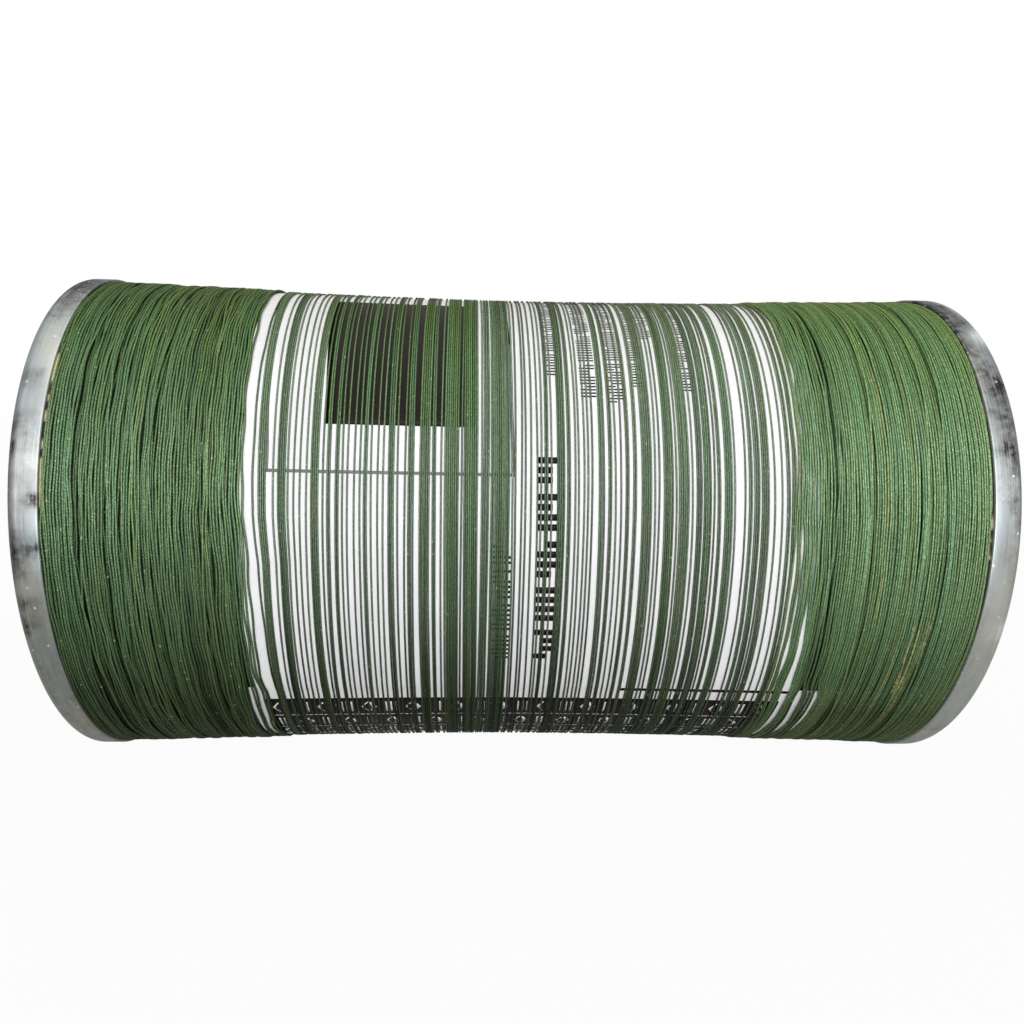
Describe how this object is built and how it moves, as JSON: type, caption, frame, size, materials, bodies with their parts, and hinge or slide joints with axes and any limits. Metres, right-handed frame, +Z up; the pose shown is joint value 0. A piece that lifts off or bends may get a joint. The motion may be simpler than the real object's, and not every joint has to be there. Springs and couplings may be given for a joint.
{
  "type": "fishing line spool",
  "caption": "Full spool of twisted green fishing line: board barrel, pressed aluminium flanges with rolled rims, moulded hubs and a paper label under loosely spaced outer turns.",
  "frame": {"origin": "middle of the spool: on its axis, halfway between the rims' outer edges", "axes": "+X along the spool's axis, +Z up with the spool lying on its rims; front is -Y"},
  "size_m": [0.12, 0.0672, 0.0672],
  "materials": {
    "barrel_board": "kraft board, matt",
    "flange_aluminium": "spun aluminium sheet, handled and a little dull",
    "liner_board": "kraft board, matt",
    "hub_plastic": "moulded, satin",
    "line": "twisted synthetic line, satin",
    "label_paper": "coated label paper, semi-matt"
  },
  "bodies": {
    "root": {"barrel_tube": "barrel_board", "left_flange": "flange_aluminium", "right_flange": "flange_aluminium", "left_liner": "liner_board", "right_liner": "liner_board", "left_hub": "hub_plastic", "right_hub": "hub_plastic", "line_package": "line", "label": "label_paper", "outer_turns": "line"}
  },
  "joints": []
}
